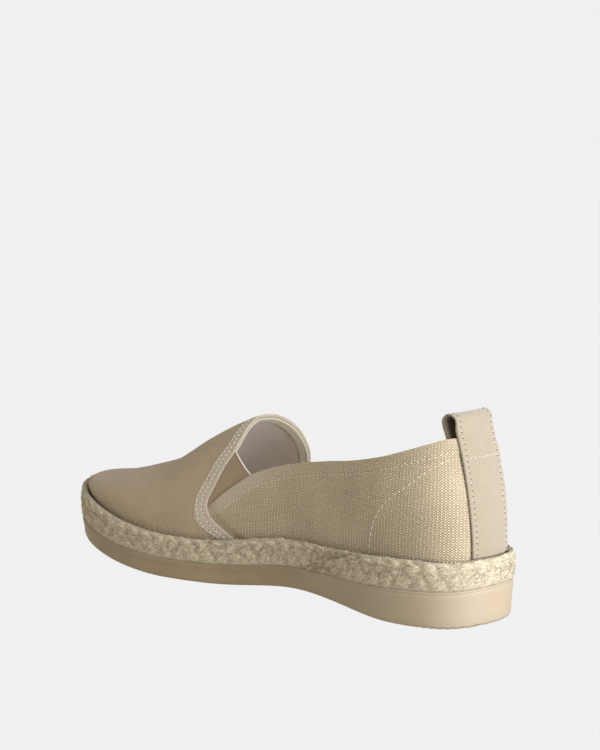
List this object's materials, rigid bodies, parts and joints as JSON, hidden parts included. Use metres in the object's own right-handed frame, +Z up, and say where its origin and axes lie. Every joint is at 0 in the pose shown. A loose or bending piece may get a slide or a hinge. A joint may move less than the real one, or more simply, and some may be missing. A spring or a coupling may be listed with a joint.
{
  "type": "slip-on espadrille",
  "caption": "Right-foot slip-on shoe with canvas upper, elastic gores, heel strip with pull loop, braided jute band and rubber sole.",
  "frame": {"origin": "on the floor under the middle of the shoe's bounding box", "axes": "+X to the toe, +Y to the medial side (wearer's left), +Z up"},
  "size_m": [0.2574, 0.0874, 0.0948],
  "materials": {
    "sole_rubber": "matte moulded",
    "jute": "braided plant fibre",
    "canvas": "plain weave cotton",
    "elastic": "ribbed elastic",
    "nubuck": "matte nubuck",
    "sock_lining": "cotton twill"
  },
  "bodies": {
    "root": {"outsole": "sole_rubber", "jute_band": "jute", "upper": "canvas", "gore_medial": "elastic", "gore_lateral": "elastic", "heel_strip": "nubuck", "insole": "sock_lining"}
  },
  "joints": []
}
